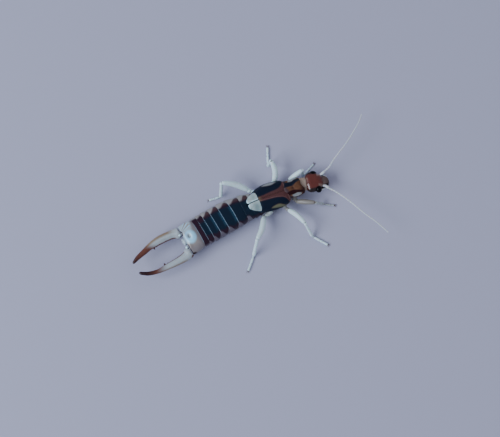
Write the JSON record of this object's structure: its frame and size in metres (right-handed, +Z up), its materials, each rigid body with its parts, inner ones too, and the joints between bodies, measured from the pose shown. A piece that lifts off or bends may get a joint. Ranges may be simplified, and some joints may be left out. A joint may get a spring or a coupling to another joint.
{
  "type": "earwig",
  "caption": "Life-size male shore earwig standing on its feet, with curved forceps, short wing cases, folded wing tips, jointed legs and long feelers.",
  "frame": {"origin": "on the floor, under the middle of the animal's box", "axes": "+X towards the head, +Y to the animal's left, +Z up"},
  "size_m": [0.0378, 0.0187, 0.0031],
  "materials": {
    "dark_cuticle": "glossy blue-black cuticle",
    "red_cuticle": "polished red-brown cuticle",
    "tan_cuticle": "satin tan cuticle",
    "cream_cuticle": "satin cream cuticle",
    "pale_cuticle": "glossy pale cuticle",
    "leg_cuticle": "pale, slightly translucent cuticle",
    "eye": "black faceted eye"
  },
  "bodies": {
    "root": {"head": "red_cuticle", "eye_left": "eye", "eye_right": "eye", "antenna_left": "leg_cuticle", "antenna_right": "leg_cuticle", "palp_left": "leg_cuticle", "palp_right": "leg_cuticle", "prothorax": "tan_cuticle", "thorax": "cream_cuticle", "elytron_left": "dark_cuticle", "elytron_right": "dark_cuticle", "wing_left": "cream_cuticle", "wing_right": "cream_cuticle", "abdomen": "dark_cuticle", "tail_plate": "pale_cuticle", "forceps_left": "pale_cuticle", "forceps_right": "pale_cuticle", "foreleg_left": "leg_cuticle", "foreleg_right": "leg_cuticle", "midleg_left": "leg_cuticle", "midleg_right": "leg_cuticle", "hindleg_left": "leg_cuticle", "hindleg_right": "leg_cuticle"}
  },
  "joints": []
}
